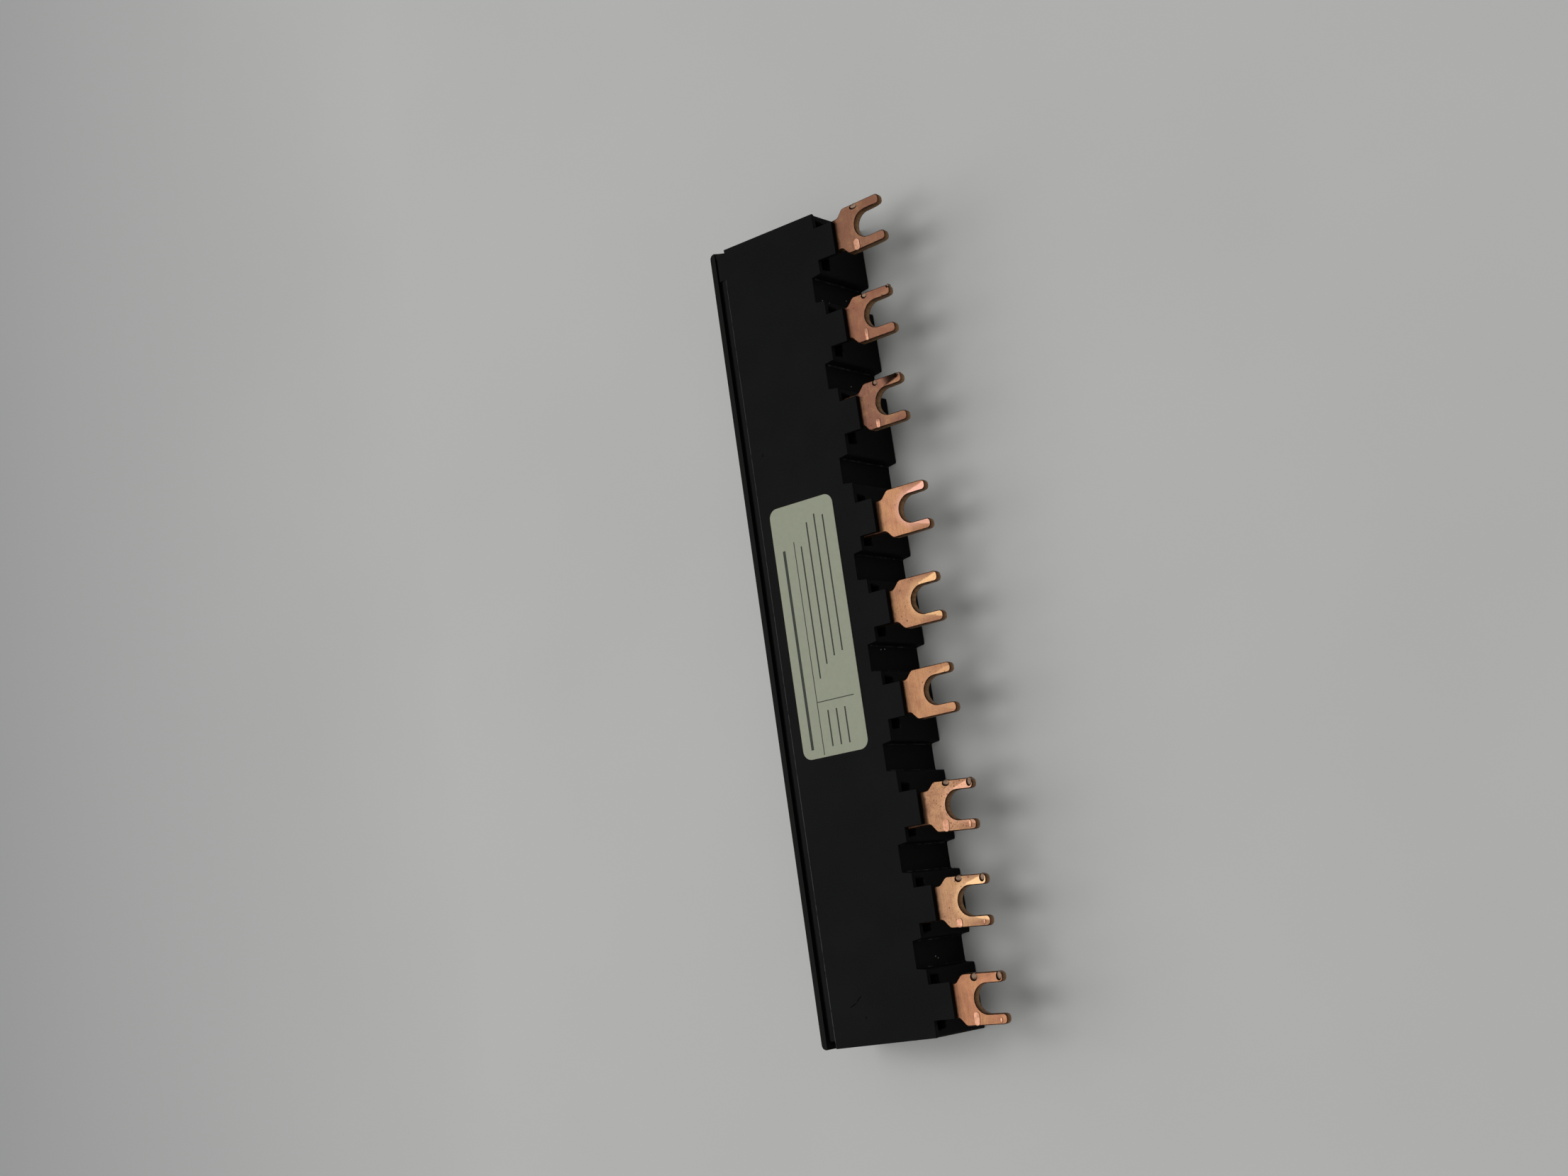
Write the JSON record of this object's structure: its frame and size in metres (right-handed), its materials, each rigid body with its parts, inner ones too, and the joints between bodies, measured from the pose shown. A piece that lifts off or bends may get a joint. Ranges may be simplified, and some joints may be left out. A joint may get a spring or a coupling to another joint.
{
  "type": "comb busbar",
  "caption": "Comb busbar: a moulded housing with a rear lid holds stamped copper combs that send a row of fork tags out of one side.",
  "frame": {"origin": "on the surface it lies on, under the middle of the whole part's box", "axes": "+X the way the fork tags leave, +Y along the row of tags, +Z out of the label face"},
  "size_m": [0.033, 0.128, 0.0131],
  "materials": {
    "housing_plastic": "satin",
    "lid_plastic": "satin",
    "copper": "satin",
    "insulation": "matte",
    "label": "matte"
  },
  "bodies": {
    "root": {"housing": "housing_plastic", "lid": "lid_plastic", "comb_l1": "copper", "comb_l2": "copper", "comb_l3": "copper", "separator_upper": "insulation", "separator_lower": "insulation", "label": "label"}
  },
  "joints": []
}
